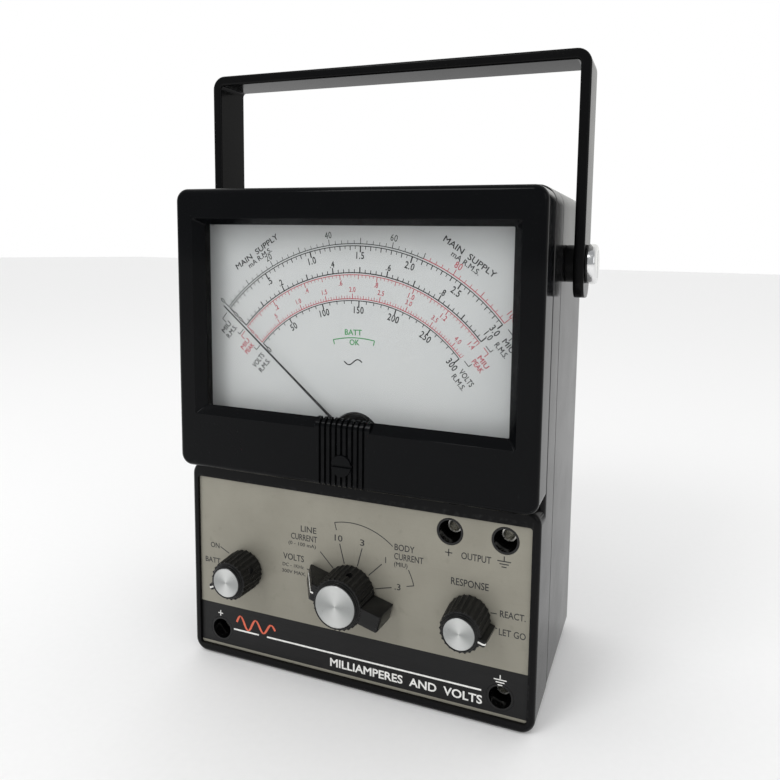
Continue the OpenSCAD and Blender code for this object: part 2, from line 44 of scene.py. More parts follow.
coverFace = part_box("meter_cover")[0].y / mm  # depths below count back from here, in mm
scene = bpy.context.scene
print("frame loaded")


def at(x, y, z):
    return Vector((x, coverFace + y, z)) * mm


def boxOf(name):  # a node's box in mm, with depth counted from the cover's face
    low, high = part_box(name)
    shift = Vector((0, coverFace, 0))
    return low / mm - shift, high / mm - shift


def shadeSmooth(mesh, angle=32):
    for face in mesh.polygons:
        face.use_smooth = True
    mesh.set_sharp_from_angle(angle=math.radians(angle))


def meshObject(name, bm, recalc=True):
    if recalc:
        bmesh.ops.recalc_face_normals(bm, faces=bm.faces)
    mesh = bpy.data.meshes.new(name)
    bm.to_mesh(mesh)
    bm.free()
    obj = bpy.data.objects.new(name, mesh)
    scene.collection.objects.link(obj)
    return obj


def loft(bm, loops, closed=False, caps=True):
    rows = [[bm.verts.new(at(*p)) for p in loop] for loop in loops]
    pairs = list(zip(rows, rows[1:])) + ([(rows[-1], rows[0])] if closed else [])
    count = len(rows[0])
    for a, b in pairs:
        for i in range(count):
            j = (i + 1) % count
            bm.faces.new((a[i], a[j], b[j], b[i]))
    if caps and not closed:
        bm.faces.new(rows[0])
        bm.faces.new(rows[-1])


def roundRect(halfX, z0, z1, r, y, inset=0.0, steps=10):
    halfX, z0, z1, r = halfX - inset, z0 + inset, z1 - inset, max(r - inset, 0.05)
    right, left, top, bottom = halfX - r, r - halfX, z1 - r, z0 + r
    corners = ((right, top, 0), (left, top, 90), (left, bottom, 180), (right, bottom, 270))
    loop = []
    for cx, cz, start in corners:
        for i in range(steps + 1):
            a = math.radians(start + 90 * i / steps)
            loop.append((cx + r * math.cos(a), y, cz + r * math.sin(a)))
    return loop


def edgeLoops(rect, y, edge, outward, steps=6):  # rings that round a slab's edge, at depth y
    loops = []
    for i in range(steps + 1):
        a = math.radians(90 * i / steps)
        loops.append(roundRect(*rect, y + outward * edge * math.sin(a), inset=edge - edge * math.cos(a)))
    return loops


def slab(rect, y0, y1, edgeFront=0.0, edgeBack=0.0):
    bm = bmesh.new()
    loops = []
    if edgeBack:
        loops += list(reversed(edgeLoops(rect, y1 - edgeBack, edgeBack, 1)))
    else:
        loops.append(roundRect(*rect, y1))
    if edgeFront:
        loops += edgeLoops(rect, y0 + edgeFront, edgeFront, -1)
    else:
        loops.append(roundRect(*rect, y0))
    loft(bm, loops)
    return bm


def prism(outline, x0, x1):  # an outline in Y and Z, carried across X
    bm = bmesh.new()
    loft(bm, [[(x, y, z) for y, z in outline] for x in (x0, x1)])
    return bm


def rod(x, z, r, y0, y1, sides=48):
    bm = bmesh.new()
    turn = [math.tau * i / sides for i in range(sides)]
    loft(bm, [[(x + r * math.cos(a), y, z + r * math.sin(a)) for a in turn] for y in (y0, y1)])
    return bm


def ringOf(r, y, count):  # a flat ring round the origin, starting at the top
    turn = [math.tau * i / count for i in range(count)]
    return [(r * math.sin(a), y, r * math.cos(a)) for a in turn]


def combine(obj, tools, operation):  # boolean with each tool in turn, then the tools go
    made = []
    for bm in tools:
        tool = meshObject("tool", bm)
        made.append(tool)
        change = obj.modifiers.new("combine", "BOOLEAN")
        change.operation, change.solver, change.object = operation, "EXACT", tool
    bakeModifiers(obj)
    for tool in made:
        bpy.data.objects.remove(tool)


def bakeModifiers(obj):
    graph = bpy.context.evaluated_depsgraph_get()
    graph.update()
    obj.data = bpy.data.meshes.new_from_object(obj.evaluated_get(graph))
    obj.modifiers.clear()


def roundEdges(obj, width, angle=35, segments=2):
    change = obj.modifiers.new("round", "BEVEL")
    change.width, change.segments, change.limit_method = width * mm, segments, "ANGLE"
    change.angle_limit = math.radians(angle)
    change.use_clamp_overlap = True
    change.harden_normals = False


def evenShading(obj):
    change = obj.modifiers.new("even", "WEIGHTED_NORMAL")
    change.keep_sharp = True
    change.weight = 80


def place(obj, body, material, slot=None, replaced=()):
    obj.data.materials.clear()
    obj.data.materials.append(material)
    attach(obj, body)
    if replaced:
        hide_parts(*replaced)
    return obj


class Finish:  # one principled material with a few node shortcuts
    def __init__(self, name, **values):
        self.material = bpy.data.materials.new(name)
        self.material.use_nodes = True
        self.tree = self.material.node_tree
        self.surface = self.tree.nodes["Principled BSDF"]
        self.object = self.add("ShaderNodeTexCoord").outputs["Object"]
        for key, value in values.items():
            self.surface.inputs[key].default_value = value

    def add(self, kind, **settings):
        node = self.tree.nodes.new(kind)
        for key, value in settings.items():
            setattr(node, key, value)
        return node

    def link(self, source, target):
        self.tree.links.new(source, target)

    def noise(self, scale, detail=4, stretch=(1, 1, 1), roughness=0.55):
        spread = self.add("ShaderNodeMapping")
        spread.inputs["Scale"].default_value = stretch
        self.link(self.object, spread.inputs["Vector"])
        node = self.add("ShaderNodeTexNoise")
        node.inputs["Scale"].default_value = scale
        node.inputs["Detail"].default_value = detail
        node.inputs["Roughness"].default_value = roughness
        self.link(spread.outputs["Vector"], node.inputs["Vector"])
        return node.outputs["Fac"]

    def between(self, value, low, high, start=0.3, end=0.7):  # spreads a value over low to high
        node = self.add("ShaderNodeMapRange")
        for key, number in (("From Min", start), ("From Max", end), ("To Min", low), ("To Max", high)):
            node.inputs[key].default_value = number
        self.link(value, node.inputs["Value"])
        return node.outputs["Result"]

    def mixColour(self, factor, first, second):
        node = self.add("ShaderNodeMix", data_type="RGBA")
        self.link(factor, node.inputs["Factor"])
        for socket, colour in ((node.inputs[6], first), (node.inputs[7], second)):
            if isinstance(colour, tuple):
                socket.default_value = (*colour, 1)
            else:
                self.link(colour, socket)
        return node.outputs[2]

    def math(self, operation, a, b=0.0):
        node = self.add("ShaderNodeMath", operation=operation)
        for socket, value in ((node.inputs[0], a), (node.inputs[1], b)):
            if isinstance(value, (int, float)):
                socket.default_value = value
            else:
                self.link(value, socket)
        return node.outputs[0]

    def colour(self, value):
        self.link(value, self.surface.inputs["Base Color"])

    def rough(self, value):
        self.link(value, self.surface.inputs["Roughness"])

    def bump(self, height, strength, depth):
        node = self.add("ShaderNodeBump")
        node.inputs["Strength"].default_value = strength
        node.inputs["Distance"].default_value = depth * mm
        self.link(height, node.inputs["Height"])
        self.link(node.outputs["Normal"], self.surface.inputs["Normal"])


def mouldedPlastic(name, tone, shine, grain, depth, facing=0.22, wear=0.05):
    made = Finish(name)
    made.surface.inputs["Specular IOR Level"].default_value = facing
    cloud = made.noise(70, 3)
    fine = made.noise(grain, 2)
    worn = made.between(made.add("ShaderNodeNewGeometry").outputs["Pointiness"], 0.0, 1.0, 0.56, 0.66)
    rubbed = made.between(made.noise(420, 4), 0.0, 1.0, 0.5, 0.7)
    dust = made.between(made.noise(1500, 2), 0.0, 1.0, 0.66, 0.76)
    base = made.mixColour(cloud, tone, tuple(1.3 * c for c in tone))
    base = made.mixColour(made.math("MULTIPLY", dust, 0.06), base, (0.09, 0.09, 0.085))
    scuffed = made.math("MULTIPLY", made.math("MULTIPLY", worn, rubbed), wear * 4)
    made.colour(made.mixColour(scuffed, base, (0.06, 0.06, 0.06)))
    made.rough(made.math("ADD", made.between(cloud, shine * 0.85, shine * 1.2),
                         made.math("MULTIPLY", dust, 0.06)))
    made.bump(made.math("ADD", fine, made.math("MULTIPLY", cloud, 0.6)), 0.2, depth)
    return made.material


def plainMetal(name, tone, shine, stretch=(1, 1, 1), scale=900, depth=0.01, metallic=1.0):
    made = Finish(name, Metallic=metallic)
    streak = made.noise(scale, 5, stretch)
    cloud = made.noise(140, 3)
    made.colour(made.mixColour(streak, tuple(c * 0.86 for c in tone), tuple(min(1, c * 1.1) for c in tone)))
    made.rough(made.math("ADD", made.between(streak, shine * 0.75, shine * 1.2),
                         made.between(cloud, -0.03, 0.05)))
    made.bump(streak, 0.3, depth)
    return made.material


caseBlack = mouldedPlastic("case_black", (0.0035, 0.0035, 0.0038), 0.17, 1800, 0.004, 0.10)
coverBlack = mouldedPlastic("cover_black", (0.0022, 0.0024, 0.0028), 0.10, 1400, 0.002, 0.08)
handleBlack = mouldedPlastic("handle_black", (0.0030, 0.0030, 0.0032), 0.16, 1800, 0.004, 0.08)
knobBlack = mouldedPlastic("knob_black", (0.0045, 0.0045, 0.0045), 0.28, 2600, 0.006, 0.25)
trimBlack = mouldedPlastic("trim_black", (0.0030, 0.0030, 0.0032), 0.30, 2400, 0.006, 0.12)
socketBlack = mouldedPlastic("socket_black", (0.0020, 0.0020, 0.0022), 0.14, 1400, 0.003, 0.35)
rubberBlack = mouldedPlastic("rubber_black", (0.0100, 0.0100, 0.0100), 0.75, 3200, 0.030, 0.4)
darkWasher = plainMetal("dark_washer", (0.05, 0.05, 0.05), 0.45)
nickel = plainMetal("nickel", (0.62, 0.61, 0.57), 0.28)
steel = plainMetal("steel", (0.48, 0.48, 0.47), 0.33)
chrome = plainMetal("chrome", (0.80, 0.80, 0.80), 0.13, scale=500, depth=0.004)
brass = plainMetal("brass", (0.62, 0.47, 0.2), 0.32)
iron = plainMetal("iron", (0.20, 0.20, 0.20), 0.5)


def makePlateFinish():  # pale gold brushed metal with a printed black band along the bottom
    plate = {"tone": (0.268, 0.256, 0.212), "dark": (0.232, 0.221, 0.182), "band": (4.55, 20.4),
             "ink": (0.0065, 0.0065, 0.0068), "shine": 0.42}
    made = Finish("panel_print")
    made.surface.inputs["Specular IOR Level"].default_value = 0.25
    height = made.add("ShaderNodeSeparateXYZ")
    made.link(made.object, height.inputs[0])
    low, high = (v * mm for v in plate["band"])
    inBand = made.math("MULTIPLY", made.math("GREATER_THAN", height.outputs["Z"], low),
                       made.math("LESS_THAN", height.outputs["Z"], high))
    grain = made.noise(1500, 6, (0.06, 1, 1.4))
    cloud = made.noise(45, 5)
    stain = made.between(made.noise(230, 6), 0.0, 1.0, 0.60, 0.74)
    metal = made.mixColour(made.between(cloud, 0.0, 1.0, 0.35, 0.65), plate["tone"], plate["dark"])
    metal = made.mixColour(made.math("MULTIPLY", grain, 0.35), metal, (0.34, 0.325, 0.275))
    metal = made.mixColour(made.math("MULTIPLY", stain, 0.22), metal, (0.13, 0.125, 0.10))
    made.colour(made.mixColour(inBand, metal, plate["ink"]))
    made.link(made.between(inBand, 0.3, 0.0, 0, 1), made.surface.inputs["Metallic"])
    made.rough(made.math("ADD", made.between(grain, plate["shine"] * 0.8, plate["shine"] * 1.25),
                         made.between(cloud, -0.04, 0.05)))
    made.bump(grain, 0.25, 0.010)
    return made.material


def makeDialFinish():
    made = Finish("dial_enamel")
    cloud = made.noise(30, 4)
    fine = made.noise(2200, 3)
    made.colour(made.mixColour(made.between(cloud, 0, 1), (0.60, 0.625, 0.625), (0.64, 0.66, 0.655)))
    made.rough(made.between(fine, 0.5, 0.62))
    made.bump(fine, 0.2, 0.006)
    return made.material


def makeInk(name, tone):
    made = Finish(name)
    fade = made.noise(700, 4)
    made.colour(made.mixColour(made.between(fade, 0, 1), tone, tuple(min(1, c * 1.35 + 0.004) for c in tone)))
    made.rough(made.between(fade, 0.42, 0.62))
    made.bump(fade, 0.1, 0.004)
    return made.material


def makeSpun():  # turned aluminium with a painted highlight: the colour is painted lighter in fans up and down through the middle and darker to the sides, standing in for the light that turned rings spread
    made = Finish("spun_aluminium", Metallic=1.0)
    spread = made.add("ShaderNodeSeparateXYZ")
    made.link(made.object.node.outputs["Generated"], spread.inputs[0])
    across = made.math("SUBTRACT", spread.outputs["X"], 0.5)
    upward = made.math("SUBTRACT", spread.outputs["Z"], 0.5)
    turn = made.math("MULTIPLY", made.math("ARCTAN2", across, upward), 2.0)
    # painted highlight: the base colour runs light in fans above and below the middle and dark to either
    # side, with a little random mottle mixed in
    highlightFanPainted = made.math("ADD", made.math("MULTIPLY", made.math("COSINE", turn), 0.5), 0.5)
    cloud = made.noise(500, 4)
    paintedSheenWithMottle = made.math("ADD", made.math("MULTIPLY", highlightFanPainted, 0.8), made.math("MULTIPLY", cloud, 0.2))
    made.colour(made.mixColour(made.between(paintedSheenWithMottle, 0, 1, 0.1, 0.9), (0.34, 0.35, 0.345), (0.62, 0.63, 0.62)))
    made.rough(made.between(cloud, 0.27, 0.36))
    return made.material


def makeGlass():
    made = Finish("window_glass", Alpha=0.06, Roughness=0.03)
    made.surface.inputs["Specular IOR Level"].default_value = 1.0
    smear = made.noise(60, 4)
    made.colour(made.mixColour(made.between(smear, 0, 1), (0.02, 0.02, 0.02), (0.05, 0.05, 0.05)))
    made.rough(made.between(smear, 0.02, 0.07))
    return made.material


platePrint = makePlateFinish()
dialEnamel = makeDialFinish()
spun = makeSpun()
glass = makeGlass()
inks = {
    "black": makeInk("ink_black", (0.012, 0.012, 0.013)),
    "grey": makeInk("ink_grey", (0.040, 0.050, 0.042)),
    "red": makeInk("ink_red", (0.42, 0.055, 0.075)),
    "green": makeInk("ink_green", (0.030, 0.26, 0.070)),
    "white": makeInk("ink_white", (0.62, 0.62, 0.60)),
    "orange": makeInk("ink_orange", (0.55, 0.10, 0.050)),
}
print("finishes made")


def finishNode(name, material, width=0.0):
    obj = nodes[name]
    mesh = obj.data
    mesh.materials.clear()
    mesh.materials.append(material)
    if "custom_normal" in mesh.attributes:
        mesh.attributes.remove(mesh.attributes["custom_normal"])
    for face in mesh.polygons:
        face.use_smooth = True
    weld = obj.modifiers.new("weld", "WELD")
    weld.merge_threshold = 1e-6
    if width:
        flat = obj.modifiers.new("flat", "DECIMATE")
        flat.decimate_type, flat.angle_limit = "DISSOLVE", math.radians(0.6)
        roundEdges(obj, width)
    split = obj.modifiers.new("split", "EDGE_SPLIT")
    split.split_angle = math.radians(32)
    split.use_edge_sharp = False
    evenShading(obj)


carried = {
    "panel_plate": (platePrint, 0.08), "case_screws": (steel, 0), "back_feet": (rubberBlack, 0.35),
    "window_glass": (glass, 0), "dial_plate": (dialEnamel, 0), "dial_screws": (steel, 0),
    "pivot_cover": (trimBlack, 0.12), "meter_base": (trimBlack, 0), "meter_screws": (steel, 0),
    "movement_bracket": (steel, 0), "magnet_ring": (iron, 0), "core": (iron, 0), "front_bridge": (brass, 0),
    "rear_bridge": (brass, 0), "moving_coil": (brass, 0), "needle": (inks["black"], 0),
    "front_hairspring": (brass, 0), "rear_hairspring": (brass, 0), "zero_screw": (coverBlack, 0.3),
    "zero_arm": (brass, 0), "range_grub": (steel, 0), "power_grub": (steel, 0), "response_grub": (steel, 0),
    "range_shaft": (steel, 0), "power_shaft": (steel, 0), "response_shaft": (steel, 0),
    "range_switch": (steel, 0), "power_switch": (steel, 0), "response_switch": (steel, 0),
    "range_wafers": (brass, 0), "switch_nuts": (nickel, 0.15), "output_shells": (socketBlack, 0),
    "output_contacts": (nickel, 0), "input_shells": (socketBlack, 0), "input_contacts": (nickel, 0),
    "socket_nuts": (nickel, 0), "circuit_board": (trimBlack, 0), "board_parts": (steel, 0),
    "board_spacers": (steel, 0), "board_screws": (steel, 0), "battery": (steel, 0),
    "battery_clip": (steel, 0), "battery_snap": (trimBlack, 0), "handle_hubs": (trimBlack, 0.3),
    "handle_washers": (darkWasher, 0.1), "handle_screws": (chrome, 0.25), "handle_nuts": (nickel, 0),
}
for name, (material, width) in carried.items():
    finishNode(name, material, width)
print("CAD nodes finished")


def makeCover():
    low, high = boxOf("meter_cover")
    cover = {
        "corner": 4.5, "edge": 2.1, "wall": 2.5, "window": (57.0, 99.8, 165.4), "bevel": 2.9, "glass": 3.2,
        "bossHalf": 10.3, "ribs": 10, "grooveWide": 0.9, "grooveDeep": 0.8, "soft": 0.18,
        "axis": (0.0, 84.6), "screwHole": 3.85, "pinHole": 2.05,
    }
    rect = (high.x, low.z, high.z, cover["corner"])
    half, z0, z1 = cover["window"]
    outer = (half + cover["bevel"], z0 - cover["bevel"], z1 + cover["bevel"] * 0.7, 0.6)
    inner = (half, z0, z1, 0.4)
    soft, wall = cover["soft"], cover["wall"]
    bm = bmesh.new()
    loops = [roundRect(*rect, high.y)] + edgeLoops(rect, cover["edge"], cover["edge"], -1)
    loops += [roundRect(*outer, 0.0, inset=-soft), roundRect(*outer, soft * 0.35, inset=0.02)]
    loops += [roundRect(*inner, cover["glass"] - soft, inset=-soft * 0.5), roundRect(*inner, cover["glass"])]
    loops += [roundRect(*rect, cover["glass"], inset=wall), roundRect(*rect, high.y, inset=wall)]
    loft(bm, loops, closed=True)
    obj = meshObject("cover_frame", bm)
    pip = cover["glass"]
    pipZ = z0 - pip + 0.5
    arc = [math.radians(180 - 7.5 * i) for i in range(13)]
    rounded = [(pip + pip * math.cos(a), pipZ + pip * math.sin(a)) for a in arc]
    boss = [(0.0, z0 - 6)] + rounded + [(pip, z0 - 6)]
    combine(obj, [prism(boss, -cover["bossHalf"], cover["bossHalf"])], "UNION")
    deep = pip - cover["grooveDeep"]
    groove = [(-1.0, low.z - 1), (cover["grooveDeep"], low.z - 1)]
    groove += [(pip + deep * math.cos(a), pipZ + deep * math.sin(a)) for a in arc]
    groove += [(pip + (pip + 1) * math.cos(a), pipZ + (pip + 1) * math.sin(a)) for a in reversed(arc)]
    pitch = 2 * cover["bossHalf"] / cover["ribs"]
    wide = cover["grooveWide"] / 2
    places = [-cover["bossHalf"] + pitch * i for i in range(1, cover["ribs"])]
    tools = [prism(groove, x - wide, x + wide) for x in places]
    tools.append(rod(*cover["axis"], cover["screwHole"], -1, 1.4))
    combine(obj, tools, "DIFFERENCE")
    combine(obj, [rod(*cover["axis"], cover["pinHole"], 0, pip + 1, 24)], "DIFFERENCE")
    shadeSmooth(obj.data, 28)
    evenShading(obj)
    return place(obj, "case", coverBlack, "cover_moulding", ["meter_cover"])


makeCover()
print("meter cover made")


def makeFront():
    low, high = boxOf("front_panel")
    plateLow, plateHigh = boxOf("panel_plate")
    coverLow, coverHigh = boxOf("meter_cover")
    front = {"corner": 6.0, "edge": 2.0, "lowCorner": 5.0, "lowEdge": 1.6, "ledge": coverLow.z - 0.5,
             "wall": 2.5, "upperFace": coverHigh.y, "gap": 0.1, "socketHole": 4.4, "controlHole": 4.86,
             "magnetHole": 14, "magnetHalf": 13.1}
    bm = slab((high.x, low.z, high.z, front["corner"]), front["upperFace"], high.y, front["edge"])
    obj = meshObject("case_front", bm)
    lower = slab((high.x, low.z, front["ledge"], front["lowCorner"]), low.y, high.y, front["lowEdge"])
    combine(obj, [lower], "UNION")
    recess = (plateHigh.x + front["gap"], plateLow.z - front["gap"], plateHigh.z + front["gap"], 1.0)
    wall = front["wall"]
    tools = [slab(recess, 0, plateHigh.y),
             slab((high.x - wall, low.z + wall, front["ledge"] - wall, 3.0), plateHigh.y + wall, high.y + 1),
             slab((high.x - wall, low.z + wall, high.z - wall, 3.5), front["upperFace"] + wall, high.y + 1)]
    combine(obj, tools, "DIFFERENCE")
    holes = [rod((a + b) / 2, (c + d) / 2, front["socketHole"], 0, 20) for a, b, c, d in socketBoxes()]
    holes += [rod(x, z, front["controlHole"], 0, 20) for x, z in controlAxes.values()]
    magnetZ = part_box("magnet_ring")[0].z / mm + front["magnetHalf"]
    holes.append(rod(0, magnetZ, front["magnetHole"], 11, 20))
    combine(obj, holes, "DIFFERENCE")
    roundEdges(obj, 0.18, 50)
    bakeModifiers(obj)
    shadeSmooth(obj.data)
    evenShading(obj)
    return place(obj, "case", caseBlack, "case_moulding", ["front_panel"])


def socketBoxes():  # left, right, bottom and top of each socket
    boxes = []
    for name in ("output_shells", "input_shells"):
        low, high = boxOf(name)
        wide = high.z - low.z
        boxes += [(low.x, low.x + wide, low.z, high.z), (high.x - wide, high.x, low.z, high.z)]
    return boxes


def makeRear():
    low, high = boxOf("rear_case")
    rear = {"corner": 6.0, "edge": 3.0, "seam": 0.55, "wall": 2.5, "screws": ((60.4, 24), (60.4, 168)),
            "post": 4.4, "bore": 1.7, "hole": 3.3, "footHole": 2.05, "footInset": 6.5}
    rect = (high.x, low.z, high.z, rear["corner"])
    seam, wall = rear["seam"], rear["wall"]
    bm = bmesh.new()
    loops = [roundRect(*rect, low.y, inset=seam), roundRect(*rect, low.y + seam, inset=seam)]
    loops += [roundRect(*rect, low.y + seam, inset=0.12), roundRect(*rect, low.y + seam + 0.12)]
    loops += edgeLoops(rect, high.y - rear["edge"], rear["edge"], 1)
    loft(bm, loops)
    obj = meshObject("case_rear", bm)
    hollow = (high.x - wall, low.z + wall, high.z - wall, 3.5)
    combine(obj, [slab(hollow, low.y - 1, high.y - wall)], "DIFFERENCE")
    screws = [(s * x, z) for x, z in rear["screws"] for s in (-1, 1)]
    combine(obj, [rod(x, z, rear["post"], low.y, high.y - wall + 0.5) for x, z in screws], "UNION")
    holes = [rod(x, z, rear["bore"], low.y - 1, high.y + 1, 24) for x, z in screws]
    holes += [rod(x, z, rear["hole"], 56, high.y + 1) for x, z in screws]
    feetLow, feetHigh = boxOf("back_feet")
    inset = rear["footInset"]
    for x in (feetLow.x + inset, feetHigh.x - inset):
        for z in (feetLow.z + inset, feetHigh.z - inset):
            holes.append(rod(x, z, rear["footHole"], high.y - wall - 1, high.y + 1, 24))
    combine(obj, holes, "DIFFERENCE")
    shadeSmooth(obj.data)
    evenShading(obj)
    return place(obj, "case", caseBlack, "case_moulding", ["rear_case"])


controlAxes = {
    "power": (-44.3, 36.7),
    "range": (0.0, 36.7),
    "response": (44.3, 36.7),
}
makeFront()
makeRear()
print("case made")


def makeHandle():
    low, high = boxOf("handle")
    strap = {"thick": 3.65, "corner": 3.2, "edge": 0.9, "endCorner": 5.5, "steps": 8, "hole": 3.1,
             "pivotUp": 11.6}
    t, c = strap["thick"] / 2, strap["corner"]
    midY, halfY = (low.y + high.y) / 2, (high.y - low.y) / 2
    x, top, end = high.x - t, high.z - t, low.z
    path = []  # x, z, direction of the outer side in degrees, half depth
    for i in range(strap["steps"] + 1):
        a = math.radians(90 * i / strap["steps"])
        r = strap["endCorner"]
        path.append((x, end + r * (1 - math.cos(a)), 0, halfY - r * (1 - math.sin(a))))
    path += [(x, end + 20, 0, halfY), (x, (end + top) / 2, 0, halfY)]
    for i in range(strap["steps"] + 1):
        a = 90 * i / strap["steps"]
        bend = math.radians(a)
        path.append((x - c + c * math.cos(bend), top - c + c * math.sin(bend), a, halfY))
    path += [(x * k, top, 90, halfY) for k in (0.6, 0.2)]
    path += [(-px, pz, 180 - a, h) for px, pz, a, h in reversed(path)]
    bm = bmesh.new()
    loops = []
    for px, pz, a, half in path:
        e = min(strap["edge"], half * 0.8)
        nx, nz = math.cos(math.radians(a)), math.sin(math.radians(a))
        loop = []
        u0, v0 = t - e, half - e
        for cu, cv, start in ((u0, v0, 0), (-u0, v0, 90), (-u0, -v0, 180), (u0, -v0, 270)):
            for i in range(5):
                b = math.radians(start + 22.5 * i)
                u, v = cu + e * math.cos(b), cv + e * math.sin(b)
                loop.append((px + nx * u, midY + v, pz + nz * u))
        loops.append(loop)
    loft(bm, loops)
    obj = meshObject("handle_bail", bm)
    pivotZ = end + strap["pivotUp"]
    hole = bmesh.new()
    turn = [math.tau * i / 32 for i in range(32)]
    r = strap["hole"]
    loft(hole, [[(px, midY + r * math.cos(a), pivotZ + r * math.sin(a)) for a in turn]
                for px in (-high.x - 1, high.x + 1)])
    combine(obj, [hole], "DIFFERENCE")
    shadeSmooth(obj.data)
    evenShading(obj)
    return place(obj, "handle", handleBlack, "handle_moulding", ["handle"])


makeHandle()
print("handle made")


def turned(bm, x, z, degrees):  # turns a piece drawn round the origin, clockwise, then sets it in place
    for v in bm.verts:
        flat = Matrix.Rotation(math.radians(degrees), 3, "Y") @ Vector((v.co.x, 0, v.co.z))
        v.co = Vector((flat.x + x * mm, v.co.y, flat.z + z * mm))
    return bm


def flutedBody(spec):
    # sizes are (depth, radius); scallops run down the skirt and stop at a plain ring in front of it
    back, front, ring, face = spec["back"], spec["front"], spec["ring"], spec["face"]
    capR, flutes, deep = spec["cap"], spec["flutes"], spec["deep"]
    bm = bmesh.new()
    per = 8
    count = flutes * per
    y0, r0 = back
    y1, r1 = front
    rows = [(y0, r0 - 0.15, 0.7)]
    for i in range(1, 8):
        k = i / 8
        rows.append((y0 + (y1 - y0) * k, r0 + (r1 - r0) * k, 1.0))
    rows += [(y1 + 0.12, r1, 1.0), (y1, r1 - 0.14, 0.95)]
    rows += [(y1 - 0.02, ring + 0.2, 0.2), (y1 - 0.06, ring + 0.06, 0.0)]
    rows += [(y1 - 0.16, ring, 0.0), (face + 0.86, ring - 0.02, 0.0), (face + 0.74, ring - 0.12, 0.0)]
    rows += [(face + 0.70, ring - 0.3, 0.0), (face + 0.22, ring - 0.36, 0.0), (face + 0.06, ring - 0.46, 0.0)]
    rows += [(face, ring - 0.62, 0.0), (face, capR + 0.12, 0.0), (face + 0.08, capR + 0.04, 0.0)]
    rows += [(face + 0.6, capR + 0.04, 0.0), (face + 0.6, 0.6, 0.0)]
    loops = []
    for y, r, cut in rows:
        loop = []
        for i in range(count):
            across = abs(2 * (i % per) / per - 1)
            rr = r - deep * cut * (1 - across ** 1.7)
            a = math.tau * i / count
            loop.append((rr * math.sin(a), y, rr * math.cos(a)))
        loops.append(loop)
    tail = [(y0, spec["hollow"]), (5.4, spec["hollow"]), (5.4, 3.25), (face + 2.4, 3.25)]
    ends = [ringOf(r, y, count) for y, r in tail]
    loft(bm, list(reversed(ends)) + loops)
    return bm


def finishBar(bm, width):
    bmesh.ops.recalc_face_normals(bm, faces=bm.faces)
    bmesh.ops.bevel(bm, geom=list(bm.edges), offset=width * mm, segments=2, profile=0.5, affect="EDGES")
    return bm


def makeKnob(name, body, spec):
    x, z = controlAxes[spec["control"]]
    face, capR, half = spec["face"], spec["cap"], spec["half"]
    obj = meshObject(name, flutedBody(spec))
    bars = [finishBar(prism(outline, -half, half), spec["soft"]) for outline in spec["bars"]]
    combine(obj, bars, "UNION")
    grub = bmesh.new()
    turn = [math.tau * i / 20 for i in range(20)]
    side = Matrix.Rotation(math.radians(spec["grub"]), 3, "Y")
    rings = []
    for r in (3.0, 13.0):
        rings.append([])
        for a in turn:
            p = side @ Vector((1.2 * math.cos(a), 0, r))
            rings[-1].append((p.x, 1.6 + 1.2 * math.sin(a), p.z))
    loft(grub, rings)
    combine(obj, [grub], "DIFFERENCE")
    mesh = bmesh.new()
    mesh.from_mesh(obj.data)
    turned(mesh, x, z, spec["turn"])
    mesh.to_mesh(obj.data)
    mesh.free()
    shadeSmooth(obj.data, 38)
    place(obj, body, knobBlack, "knob_moulding", [spec["control"] + "_knob"])
    cap = bmesh.new()
    rings = 26
    profile = [(face + 0.6, capR), (face + 0.16, capR), (face + 0.04, capR - 0.14)]
    for i in range(1, rings):  # fine turned rings, every other one a touch lower
        profile.append((face + 0.05 + 0.012 * (i % 2), capR - 0.14 - (capR - 0.3) * i / rings))
    loft(cap, [ringOf(r, y, 96) for y, r in profile])
    capObj = meshObject(name + "_inlay", turned(cap, x, z, spec["turn"]))
    shadeSmooth(capObj.data, 50)
    place(capObj, body, spun, "spun_aluminium", [spec["control"] + "_cap"])
    line = finishBar(prism(spec["line"], -spec["lineHalf"], spec["lineHalf"]), 0.03)
    lineObj = meshObject(name + "_line", turned(line, x, z, spec["turn"]))
    place(lineObj, body, inks["white"], "knob_moulding")


knobFace = boxOf("range_knob")[0].y
knobBack = boxOf("range_knob")[1].y
bigKnob = {
    "control": "range", "turn": -75, "back": (knobBack, 9.9), "front": (knobFace + 1.4, 9.3), "ring": 8.4,
    "face": knobFace, "cap": 7.5, "flutes": 32, "deep": 0.5, "hollow": 7.0, "half": 3.0, "soft": 0.22,
    "grub": 90,
    "bars": [[(knobBack, 4.5), (knobBack, 17.0), (6.0, 17.0), (-2.9, 10.6), (-2.9, 4.5)],
             [(knobBack, -4.5), (-2.9, -4.5), (-2.9, -15.8), (-1.9, -16.2), (knobBack, -16.6)]],
    "line": [(5.6, 16.6), (5.6, 16.74), (-2.75, 10.74), (-3.0, 10.55),
             (-3.0, 9.5), (-2.86, 9.5), (-2.86, 10.5), (-2.6, 10.62)],
    "lineHalf": 0.28,
}
smallKnob = {
    "back": (knobBack, 7.7), "front": (knobFace + 1.4, 7.2), "ring": 6.3, "face": knobFace, "cap": 5.35,
    "flutes": 24, "deep": 0.48, "hollow": 6.6, "half": 1.1, "soft": 0.22, "grub": 180,
    "bars": [[(knobBack, 5.6), (knobBack, 9.2), (-3.0, 8.8), (-3.5, 8.3), (-3.5, 5.6)]],
    "line": [(-3.42, 6.3), (-3.42, 8.25), (-3.0, 8.74), (-2.6, 8.80),
             (-2.6, 8.90), (-3.05, 8.86), (-3.54, 8.30), (-3.54, 6.3)],
    "lineHalf": 0.3,
}
makeKnob("range_dial", "range_control", bigKnob)
makeKnob("power_dial", "power_control", dict(smallKnob, control="power", turn=-115))
makeKnob("response_dial", "response_control", dict(smallKnob, control="response", turn=105))
print("knobs made")


